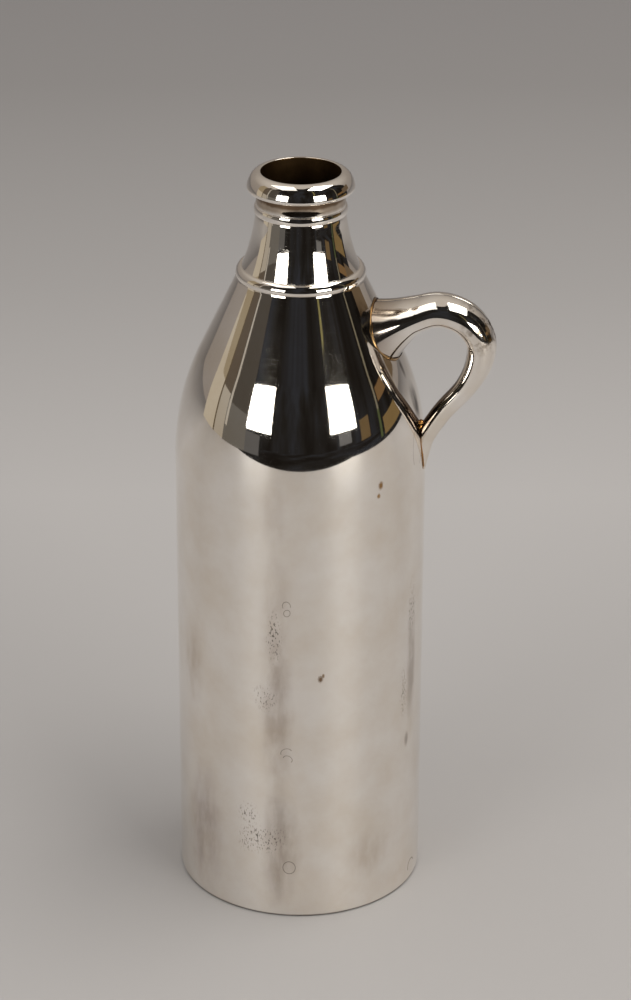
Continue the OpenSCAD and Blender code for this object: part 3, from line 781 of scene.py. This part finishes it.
def loop_scratch(kit, right, height, wide, tall, tilt, width, kept_from):
    """A scratch along an oval: 1 where the distance from its middle is 1, give or take width. It
    is kept where its own z is above kept_from, so -1 keeps it all and 0 the upper half."""
    tree = kit["tree"]
    local = at_mark(kit, right, height, wide, tall, tilt)
    flat = add(tree, "VectorMath", {0: local, 1: (0, 1, 1)}, operation="MULTIPLY").outputs[0]
    away = add(tree, "VectorMath", {0: flat}, operation="LENGTH").outputs["Value"]
    off = add(tree, "Math", {0: away, 1: 1.0}, operation="SUBTRACT").outputs[0]
    off = add(tree, "Math", {0: off}, operation="ABSOLUTE").outputs[0]
    on_it = add(tree, "MapRange", {"Value": off, "From Max": width, "To Min": 1.0, "To Max": 0.0}).outputs[0]
    parts = add(tree, "SeparateXYZ", {0: local}).outputs
    kept = add(tree, "Math", {0: parts["Z"], 1: kept_from}, operation="GREATER_THAN").outputs[0]
    near = add(tree, "Math", {0: parts["X"], 1: -0.5}, operation="GREATER_THAN").outputs[0]
    kept = add(tree, "Math", {0: kept, 1: near}, operation="MULTIPLY").outputs[0]
    return add(tree, "Math", {0: on_it, 1: kept}, operation="MULTIPLY").outputs[0]


# %% The body's finish
body_kit = silver("spun_sterling_silver", shine=0.026, haze=0.012, scratches=0.9, brushed=0.004)
tree, in_mm = body_kit["tree"], body_kit["in_mm"]
height_of = add(tree, "SeparateXYZ", {0: in_mm}).outputs["Z"]
low_wall = add(tree, "MapRange", {"Value": height_of, "From Min": 186.0, "From Max": 150.0},
               interpolation_type="SMOOTHSTEP").outputs[0]
body_kit["rough"] = add(tree, "Math", {0: low_wall, 1: 0.06, 2: body_kit["rough"]},
                        operation="MULTIPLY_ADD").outputs[0]
blotches = add(tree, "VectorMath", {0: in_mm, 1: (1, 1, 0.35)}, operation="MULTIPLY").outputs[0]
blotches = add(tree, "TexNoise", {"Vector": blotches, "Scale": 1 / 4, "Detail": 5.0}).outputs["Fac"]
blotches = add(tree, "MapRange", {"Value": blotches, "From Min": 0.3, "From Max": 0.62, "To Min": 0.25}).outputs[0]
for right, height, wide, tall, tint, strength in (
        (-12, 174, 6, 20, "#DAD4D0", 0.4), (-11, 128, 8, 40, "#DAD4D0", 0.5), (-11, 88, 8, 44, "#D2CCC8", 0.8),
        # The dark brown blots at 76, 54 and 73 degrees are painted shade on the body, inside the handle's loop and
        # beside its root.
        (-9, 30, 9, 34, "#C6C0BC", 0.8), (76, 203, 5, 10, "#3E3228", 1.0), (54, 238, 6, 9, "#75675A", 0.9),
        (73, 217, 1.8, 5, "#4E3E30", 0.9),
        (-52, 30, 14, 34, "#CFC8C8", 0.7), (64, 98, 5, 34, "#C2BCB8", 0.8), (60, 66, 2.0, 4, "#8E8680", 0.8),
        (-60, 100, 9, 22, "#DAD2CA", 0.6), (34, 24, 12, 14, "#DDD6CE", 0.5)):
    mask = blot(body_kit, right, height, wide, tall, ragged=0.2, grain=0.12)
    mask = add(tree, "Math", {0: mask, 1: blotches}, operation="MULTIPLY").outputs[0]
    mask = add(tree, "Math", {0: mask, 1: strength}, operation="MULTIPLY").outputs[0]
    lay_over(body_kit, mask, tint, 0.03)
for right, height, size, tint in ((9.3, 104.6, 1.3, "#8A7460"), (10.6, 106.0, 0.8, "#A48E76"),
                                  (38.8, 180.5, 1.5, "#A8865C"), (37.6, 176.5, 1.0, "#B89668")):
    lay_over(body_kit, blot(body_kit, right, height, size, size * 1.5, ragged=0.4, grain=1.5), tint, 0.15)
pits = add(tree, "VectorMath", {0: in_mm, 1: (1, 1, 0.45)}, operation="MULTIPLY").outputs[0]
pits = add(tree, "TexNoise", {"Vector": pits, "Scale": 1 / 0.55, "Detail": 1.0}).outputs["Fac"]
pits = add(tree, "MapRange", {"Value": pits, "From Min": 0.58, "From Max": 0.66, "To Max": 0.75}).outputs[0]
for right, height, wide, tall in ((-25, 44, 6, 6), (-24, 33, 7, 8), (-14, 34, 8, 8), (-12, 122, 4, 15),
                                  (-16, 96, 6, 8), (64, 122, 4, 17), (57, 88, 3, 15)):
    mask = blot(body_kit, right, height, wide, tall, ragged=0.3, grain=0.2)
    mask = add(tree, "Math", {0: mask, 1: pits}, operation="MULTIPLY").outputs[0]
    lay_over(body_kit, mask, "#6A625E", 0.1)
# A dark line 1 mm high is painted round the foot's edge, which is made a little rougher there: painted contact shadow
# where the bottle stands on the table.
foot_contact_shadow = add(tree, "MapRange", {"Value": height_of, "From Min": 1.0, "From Max": 0.4, "To Max": 0.85}).outputs[0]
lay_over(body_kit, foot_contact_shadow, "#4A4642", 0.1)
scratch = None
for right, height, wide, tall, tilt, width, kept_from in (
        (-6.2, 135.6, 1.5, 1.8, 10, 0.12, -0.4), (-6.0, 132.6, 1.2, 1.4, -20, 0.14, -1.2),
        (-6.3, 73.0, 2.2, 1.7, 25, 0.10, 0.0), (-5.6, 70.2, 1.8, 1.4, -30, 0.12, -0.3),
        (-5.0, 22.0, 2.4, 2.7, 0, 0.09, -1.2), (68.0, 5.2, 3.0, 3.2, 20, 0.14, 0.1),
        (69.0, 187.5, 4.4, 8.5, -15, 0.04, -0.8)):
    one = loop_scratch(body_kit, right, height, wide, tall, tilt, width, kept_from)
    scratch = one if scratch is None else add(tree, "Math", {0: scratch, 1: one}, operation="MAXIMUM").outputs[0]
lay_over(body_kit, add(tree, "Math", {0: scratch, 1: 0.85}, operation="MULTIPLY").outputs[0], "#6E645C", 0.15)
deeper = add(tree, "Math", {0: scratch, 1: -0.004, 2: body_kit["height"]}, operation="MULTIPLY_ADD").outputs[0]
body_kit["height"] = deeper
spun_silver = finish_silver(body_kit)
print("the body's finish has", len(tree.nodes), "nodes")

# %% [markdown]
# ## Tarnish and painted shade under the lip
# The neck goes brown from the top of the bead up to the lip and under it: tarnish, and painted shade
# where the lip overhangs. The band's height gives the mask, and noise breaks its edge.

# %% The finishes of the neck, wires, lip and handle
neck_kit = silver("spun_sterling_silver_neck", shine=0.028, haze=0.016, scratches=0.7, brushed=0.04)
tree = neck_kit["tree"]
height_of = add(tree, "SeparateXYZ", {0: neck_kit["in_mm"]}).outputs["Z"]
edge_noise = add(tree, "TexNoise", {"Vector": neck_kit["in_mm"], "Scale": 0.35, "Detail": 4.0}).outputs["Fac"]
ragged = add(tree, "Math", {0: edge_noise, 1: 1.6, 2: -0.8}, operation="MULTIPLY_ADD").outputs[0]
ragged = add(tree, "Math", {0: height_of, 1: ragged}, operation="ADD").outputs[0]
# Two bands of tarnish and painted shade, the upper one darker and rougher.
for low, high, code, rougher in ((LIP_Z - 5.4, LIP_Z - 3.6, "#AEA08E", 0.02), (LIP_Z - 2.9, LIP_Z - 1.7, "#8A7258", 0.12)):
    brown = add(tree, "MapRange", {"Value": ragged, "From Min": low, "From Max": high, "To Max": 0.85},
                interpolation_type="SMOOTHSTEP").outputs[0]
    lay_over(neck_kit, brown, code, rougher)
neck_silver = finish_silver(neck_kit)

wire_silver = finish_silver(silver("drawn_half_round_silver", scratches=0.5))

# %% [markdown]
# Inside its loop the handle is painted darker, as painted shade, and most so down in the crotch. Its
# outer bend has brown blotches. The mesh knows how far each point is turned inward, so the painted
# shade follows the handle round its curve.

# %% The handle's finish
handle_kit = silver("stamped_silver_handle", shine=0.045, haze=0.03, film_share=0.7)
tree = handle_kit["tree"]
inward = add(tree, "Attribute", attribute_name="inward").outputs["Fac"]
place = add(tree, "SeparateXYZ", {0: handle_kit["in_mm"]}).outputs
deep = add(tree, "MapRange", {"Value": place["Z"], "From Min": 214.0, "From Max": 196.0, "To Max": 0.25}).outputs[0]
# Painted shade inside the loop, deepest in the crotch, made a little rougher too.
dark = add(tree, "Math", {0: inward, 1: deep}, operation="ADD").outputs[0]
dark = add(tree, "MapRange", {"Value": dark, "From Min": 0.8, "From Max": 0.93, "To Max": 0.9},
           interpolation_type="SMOOTHSTEP").outputs[0]
lay_over(handle_kit, dark, "#5A4A3E", 0.1)
bend = add(tree, "MapRange", {"Value": place["X"], "From Min": 60.0, "From Max": 68.0}).outputs[0]
high = add(tree, "MapRange", {"Value": place["Z"], "From Min": 225.0, "From Max": 232.0}).outputs[0]
bend = add(tree, "Math", {0: bend, 1: high}, operation="MULTIPLY").outputs[0]
spots_on = add(tree, "TexNoise", {"Vector": handle_kit["in_mm"], "Scale": 1 / 3, "Detail": 5.0, "Roughness": 0.65}).outputs["Fac"]
spots_on = add(tree, "MapRange", {"Value": spots_on, "From Min": 0.48, "From Max": 0.6, "To Max": 0.9}).outputs[0]
lay_over(handle_kit, add(tree, "Math", {0: bend, 1: spots_on}, operation="MULTIPLY").outputs[0], "#66543F", 0.1)
# Near its root, where it meets the shoulder, the handle is painted darker as painted shade, and made rougher.
near_root = add(tree, "MapRange", {"Value": place["X"], "From Min": 44.0, "From Max": 29.0, "To Max": 0.75},
                interpolation_type="SMOOTHSTEP").outputs[0]
lay_over(handle_kit, near_root, "#9E8E80", 0.1)
handle_silver = finish_silver(handle_kit)

# %% The other finishes
lip_silver = finish_silver(silver("rolled_silver_lip", scratches=0.6))
# Inside the bottle and the mouth, the silver and the gilding are painted dark brown: tarnish, and painted shade where
# little light reaches.
inside_silver = finish_silver(silver("tarnish_and_painted_shade_inside", shine=0.25, haze=0.2, clean="#6E5A42",
                                     film="#3E2F20", film_share=0.9, scratches=0.3))
gilt_inside = finish_silver(silver("worn_gilding_and_painted_shade_in_the_mouth", shine=0.2, haze=0.2, clean="#765A3A",
                                   film="#46341F", film_share=0.9, scratches=0.4))
solder = finish_silver(silver("silver_solder", shine=0.15, haze=0.15, clean="#B8966A", film="#7A5C38",
                              film_share=0.9, scratches=0.4))
dark_solder = finish_silver(silver("tarnished_silver_solder", shine=0.15, haze=0.15, clean="#C8924E",
                                   film="#6A4A2C", film_share=0.9, scratches=0.4))

# %% [markdown]
# ## Which finish goes where
# A piece with an outside and an inside has two slots, and each row of its grid already knows which
# one it uses. Each piece then stands for its CAD node and moves with the bottle's one body.

# %% Finishes, nodes and slots
PIECES = [(body, (spun_silver, inside_silver), "silver_sheet", "body_shell"),
          (base, (inside_silver,), "silver_sheet", "base_plate"),
          (neck, (neck_silver, inside_silver), "silver_sheet", "neck_tube"),
          (ring, (wire_silver,), "silver_wire", "neck_ring"),
          (bead, (wire_silver,), "silver_wire", "neck_bead"),
          (lip, (lip_silver, gilt_inside), "gilt_lip", "lip_ring"),
          (front_half, (handle_silver,), "silver_handle", "handle_front_half"),
          (back_half, (handle_silver,), "silver_handle", "handle_back_half"),
          (root_seam, (solder,), "silver_solder", "root_solder"),
          (tail_seam, (dark_solder,), "silver_solder", "tail_solder")]
for piece, finishes, slot, node_name in PIECES:
    for finish in finishes:
        piece.data.materials.append(finish)
    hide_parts(node_name)
    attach(piece, "root")
print(len(PIECES), "pieces stand for", len(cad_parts), "CAD nodes")

# %% [markdown]
# ## Floor
# The photograph has a pale grey table that gets darker towards the back. The floor's colour is painted
# that way, as painted shade along the direction in which the photograph looks, so that no lamp has to.
# The paper has a slight sheen, and the wall of the bottle mirrors it: that gives its broad bright bands.

# %% The floor
FLOOR_HALF = 9.0
floor_mesh = bpy.data.meshes.new("pale_floor")
corners = [(x * FLOOR_HALF, y * FLOOR_HALF, 0) for x, y in ((-1, -1), (1, -1), (1, 1), (-1, 1))]
floor_mesh.from_pydata(corners, [], [(0, 1, 2, 3)])
floor = bpy.data.objects.new("pale_floor", floor_mesh)
bpy.context.scene.collection.objects.link(floor)


def emission(name, glow_color, strength=1.0):
    """A material that only glows, and its node tree. glow_color is a colour or a socket."""
    paint = bpy.data.materials.new(name)
    paint.use_nodes = True
    paint.node_tree.nodes.clear()
    glow = add(paint.node_tree, "Emission", {"Color": glow_color, "Strength": strength})
    finish = add(paint.node_tree, "OutputMaterial")
    paint.node_tree.links.new(glow.outputs[0], finish.inputs["Surface"])
    return paint


floor_paper = bpy.data.materials.new("pale_grey_paper")
floor_paper.use_nodes = True
tree = floor_paper.node_tree
tree.nodes.clear()
end = add(tree, "OutputMaterial")
place = add(tree, "TexCoord").outputs["Object"]
back = add(tree, "VectorMath", {0: place, 1: tuple(-photo_front)}, operation="DOT_PRODUCT").outputs["Value"]
far = add(tree, "MapRange", {"Value": back, "From Min": -0.2, "From Max": 1.3}).outputs[0]
# Painted shade: the floor's colour gets darker towards the back.
painted_floor_falloff = add(tree, "ValToRGB", {"Fac": far})
painted_floor_falloff.color_ramp.elements[0].position, painted_floor_falloff.color_ramp.elements[0].color = 0.0, colour("#ADA9A8")
painted_floor_falloff.color_ramp.elements[1].position, painted_floor_falloff.color_ramp.elements[1].color = 1.0, colour("#8B8787")
for position, code in ((0.12, "#ABA7A6"), (0.18, "#A8A4A3"), (0.36, "#B2AEAD"), (0.55, "#A09C9B"), (0.8, "#8E8A89")):
    painted_floor_falloff.color_ramp.elements.new(position).color = colour(code)
paper = add(tree, "BsdfPrincipled", {"Base Color": painted_floor_falloff.outputs[0], "Roughness": 0.6})
tree.links.new(paper.outputs[0], end.inputs["Surface"])
floor_mesh.materials.append(floor_paper)

# %% [markdown]
# ## What the silver mirrors
# A mirror looks like nothing until there is something to mirror. In front of the table the
# photograph has a dark room, and at its sides a pale door and a few shelves. Each is a patch of a
# large ball round the bottle, given by its angles: to the right of the camera, and above the
# horizon. They show in reflections only, so they stand in no view and light nothing.


# %% Cards round the bottle
def reflected_only(name, grid, paint):
    """Adds a mesh of a grid of points that nothing but reflections can see."""
    rows, columns = grid.shape[:2]
    mesh = bpy.data.meshes.new(name)
    mesh.from_pydata(grid.reshape(-1, 3).tolist(), [], grid_quads(rows, columns, False, False).tolist())
    mesh.materials.append(paint)
    patch = bpy.data.objects.new(name, mesh)
    bpy.context.scene.collection.objects.link(patch)
    patch.visible_camera = patch.visible_diffuse = patch.visible_shadow = False
    patch.visible_transmission = patch.visible_volume_scatter = False
    return patch


def toward(right, up, far):
    """The point at two angles in degrees, to the right of the camera and up, at a distance."""
    right, up = np.radians(right)[..., None], np.radians(up)[..., None]
    level = photo_front * np.cos(right) + photo_right * np.sin(right)
    return far * (level * np.cos(up) + np.array([0, 0, 1.0]) * np.sin(up)) + [0, 0, 0.22]


def card(name, left, right, low, high, code, far=5.6):
    """A patch of the ball between two angles to the right and two angles up, in one colour."""
    across, up = np.meshgrid(np.linspace(left, right, 8), np.linspace(low, high, 8))
    return reflected_only(name, toward(across, up, far), emission(name, colour(code)))


TABLE_EDGE, ROOM_FAR = 1.13, 6.0
room_angle = np.linspace(-71, 112, 91)
to_edge = TABLE_EDGE / np.maximum(np.cos(np.radians(room_angle)), 0.05)
to_edge = np.minimum(to_edge, np.where(room_angle > 0, 1.65, 2.2))
level = photo_front * np.cos(np.radians(room_angle))[:, None] + photo_right * np.sin(np.radians(room_angle))[:, None]
beyond = np.linspace(0, 1, 6)[:, None, None]
ground = (to_edge[:, None] + (ROOM_FAR - to_edge[:, None]) * beyond) * level + [0, 0, 0.003]
across, up = np.meshgrid(room_angle, np.linspace(0, 84, 40))
room_grid = np.concatenate([ground, toward(across, up, ROOM_FAR)[1:]])
room_paint = emission("dim_room", colour("#262422"))
tree = room_paint.node_tree
place = add(tree, "TexCoord").outputs["Object"]
tall = add(tree, "VectorMath", {0: place, 1: (1, 1, 0.3)}, operation="MULTIPLY").outputs[0]
shapes = add(tree, "TexNoise", {"Vector": tall, "Scale": 0.7, "Detail": 3.0}).outputs["Fac"]
dim = add(tree, "ValToRGB", {"Fac": shapes})
dim.color_ramp.elements[0].position, dim.color_ramp.elements[0].color = 0.38, colour("#181512")
dim.color_ramp.elements[1].position, dim.color_ramp.elements[1].color = 0.66, colour("#2C2D31")
dim.color_ramp.elements.new(0.5).color = colour("#211F1D")
glow = next(node for node in tree.nodes if node.type == "EMISSION")
tree.links.new(dim.outputs[0], glow.inputs["Color"])
reflected_only("dark_room", room_grid, room_paint)

CARDS = [("cream_door", -104, -88.6, -8, 12, "#B3A998", 2.3), ("cream_door_top", -104, -88.6, 12, 38, "#93866F", 2.3),
         ("door_gap", -88.6, -87, -8, 38, "#5C5040", 2.3), ("frame_low", -87, -76, -8, 11, "#A39B8E", 2.3),
         ("frame_high", -87, -76, 11, 44, "#5A5045", 2.3), ("pale_edge", -75.2, -72.8, 0, 44, "#ADA69B", 2.15),
         ("grey_wall_low", -76, -52, -8, 9, "#66625C", 2.2), ("grey_wall_high", -76, -52, 9, 44, "#4A453F", 2.2),
         ("grey_base", -52, -38, -8, 3, "#5A5856", 2.2), ("right_base", 36, 48, -1, 4, "#6A6968"),
         ("yellow_strip", 29.5, 32.5, 27, 50, "#827A4E"),
         ("pale_stand", 79.5, 81.5, 4, 45, "#77705F", 2.1), ("tan_shelf", 84, 108, -8, 0, "#74603F", 2.1),
         ("tan_shelf_high", 83, 99, 6, 11, "#70573A", 2.1), ("green_strip", 79, 81.5, -8, 4, "#4A5134", 2.1),
         ("tan_door", 58, 68, -4, 6, "#66543A"), ("brown_shelf", 99, 120, 3, 15, "#615240")]
for spec in CARDS:
    card(*spec)
print(len(CARDS), "cards and the dark room stand round the bottle")

# %% [markdown]
# ## Lamps
# Two upright soft boxes stand in front, to the left and right, turned so that their outer edges
# are farther away. Two more lie flat overhead. The pale world adds an even light, so that a colour
# renders about as it is written.


# %% Soft boxes
def soft_box(name, middle_at, along, facing, wide, tall, power):
    """A rectangular lamp of wide by tall metres at a place. along is the direction of its width,
    and facing the direction in which it shines."""
    data = bpy.data.lights.new(name, "AREA")
    data.shape, data.size, data.size_y = "RECTANGLE", wide, tall
    data.energy = power
    data.color = colour("#FFFDF6")[:3]
    lamp = bpy.data.objects.new(name, data)
    bpy.context.scene.collection.objects.link(lamp)
    z_way = -np.asarray(facing, float)
    frame_of = np.array([along, np.cross(z_way, along), z_way]).T
    lamp.matrix_world = Matrix.Translation(Vector(middle_at)) @ Matrix(frame_of.tolist()).to_4x4()
    lamp.visible_camera = False
    print(name, "is", round(wide, 2), "by", round(tall, 2), "m at", np.round(middle_at, 2).tolist())
    return lamp


def upright_box(name, inner, outer, power):
    """A soft box between two upright edges, each given by degrees to the right and metres away.
    Its lower and upper edge stand 5 and 25.3 degrees above the bottle's shoulder."""
    ends = [far * (photo_front * np.cos(np.radians(a)) + photo_right * np.sin(np.radians(a)))
            for a, far in (inner, outer)]
    across = ends[1] - ends[0]
    wide = float(np.linalg.norm(across))
    across = across / wide
    facing = np.cross(across, [0, 0, 1.0])
    middle_at = (ends[0] + ends[1]) / 2
    facing = facing if facing @ middle_at < 0 else -facing
    across = np.cross(facing, [0, 0, 1.0])
    bottom, top = (0.21 + inner[1] * np.tan(np.radians(a)) for a in (5, 25.3))
    soft_box(name, middle_at + [0, 0, (bottom + top) / 2], across, facing, wide, top - bottom, power)


upright_box("left_soft_box", (-27.5, 3.0), (-52.3, 3.53), 36)
upright_box("right_soft_box", (28.0, 3.0), (54.0, 3.6), 45)
for name, low_x, high_x, power in (("left_overhead_box", -1.5, -0.25, 10), ("right_overhead_box", 0.45, 1.75, 38)):
    over = photo_right * (low_x + high_x) / 2 + photo_front * 0.05 + [0, 0, 2.6]
    soft_box(name, over, photo_right, [0, 0, -1.0], high_x - low_x, 1.9, power)

# %% The world
world = bpy.data.worlds.new("pale_studio")
bpy.context.scene.world = world
world.use_nodes = True
tree = world.node_tree
tree.nodes.clear()
ray_path = add(tree, "LightPath")
seen = add(tree, "Math", {0: ray_path.outputs["Is Camera Ray"], 1: ray_path.outputs["Is Glossy Ray"]},
           operation="MAXIMUM").outputs[0]
seen = add(tree, "Math", {0: seen, 1: ray_path.outputs["Is Transmission Ray"]}, operation="MAXIMUM").outputs[0]
way = add(tree, "TexCoord").outputs["Generated"]
up = add(tree, "SeparateXYZ", {0: way}).outputs["Z"]
backdrop = add(tree, "ValToRGB", {"Fac": up})
backdrop.color_ramp.elements[0].position, backdrop.color_ramp.elements[0].color = 0.0, colour("#8A837D")
backdrop.color_ramp.elements[1].position, backdrop.color_ramp.elements[1].color = 0.8, colour("#BFB8B0")
backdrop.color_ramp.elements.new(0.35).color = colour("#958E87")
plain = add(tree, "Background", {"Color": colour("#FFFFFF"), "Strength": 0.42})
shown = add(tree, "Background", {"Color": backdrop.outputs[0], "Strength": 1.0})
both = add(tree, "MixShader", {0: seen, 1: plain.outputs[0], 2: shown.outputs[0]})
tree.links.new(both.outputs[0], add(tree, "OutputWorld").inputs["Surface"])
